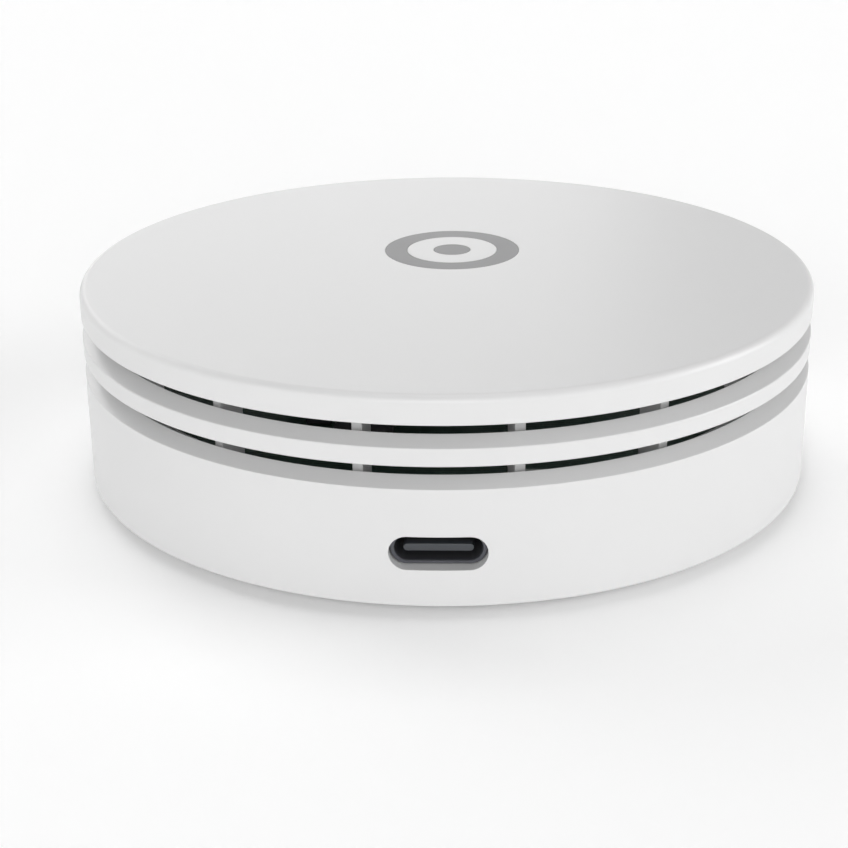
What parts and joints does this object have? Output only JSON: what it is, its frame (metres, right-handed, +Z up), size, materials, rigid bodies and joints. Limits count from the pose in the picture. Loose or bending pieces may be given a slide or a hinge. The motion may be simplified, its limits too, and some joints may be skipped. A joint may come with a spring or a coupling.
{
  "type": "smart home hub",
  "caption": "Round white smart home hub in three tiers with cooling grooves between them, a grey inlaid mark on top and a USB-C power socket at the rear.",
  "frame": {"origin": "centre of the footprint, at the bottom of the rubber feet", "axes": "+Z up through the top cover; -Y the way the USB-C socket faces; +X to the right when looking at the socket"},
  "size_m": [0.08, 0.08, 0.0225],
  "materials": {
    "white_abs": "fine matt moulded ABS",
    "grey_inlay": "satin mid grey",
    "foot_rubber": "matt",
    "zinc_steel": "zinc plated",
    "label_paper": "blank, matt laminate",
    "board_green": "dark green solder mask",
    "dark_nickel": "dark nickel plating",
    "black_plastic": "moulded epoxy or LCP",
    "pad_silicone": "soft matt silicone",
    "black_anodised": "black anodised",
    "tin_plate": "tin plated sheet",
    "antenna_brass": "plated sheet",
    "ferrite": "matt dark grey",
    "led_lens": "milky clear"
  },
  "bodies": {
    "hub": {"top_cover": "white_abs", "vent_ring": "white_abs", "lower_housing": "white_abs", "base_plate": "white_abs", "badge_ring": "grey_inlay", "badge_dot": "grey_inlay", "rubber_foot_1": "foot_rubber", "rubber_foot_2": "foot_rubber", "rubber_foot_3": "foot_rubber", "rubber_foot_4": "foot_rubber", "base_screw_1": "zinc_steel", "base_screw_2": "zinc_steel", "base_screw_3": "zinc_steel", "rating_label": "label_paper", "main_board": "board_green", "wifi_module_board": "board_green", "zigbee_module_board": "board_green", "usb_shell": "dark_nickel", "usb_tongue": "black_plastic", "processor": "black_plastic", "memory_chip": "black_plastic", "flash_chip": "black_plastic", "regulator_chip": "black_plastic", "capacitor_1": "black_plastic", "capacitor_2": "black_plastic", "capacitor_3": "black_plastic", "switch_body": "black_plastic", "thermal_pad": "pad_silicone", "heat_sink": "black_anodised", "memory_shield": "tin_plate", "wifi_module_shield": "tin_plate", "zigbee_module_shield": "tin_plate", "crystal": "tin_plate", "wifi_antenna": "antenna_brass", "zigbee_antenna": "antenna_brass", "power_inductor": "ferrite", "status_led": "led_lens"},
    "button": {"reset_button": "white_abs", "switch_plunger": "zinc_steel"}
  },
  "joints": [
    {"name": "reset_press", "type": "slide", "parent": "hub", "child": "button", "axis": [0, 0, 1], "range_m": [0, 0.0003], "stiffness_N_per_m": 1500}
  ]
}
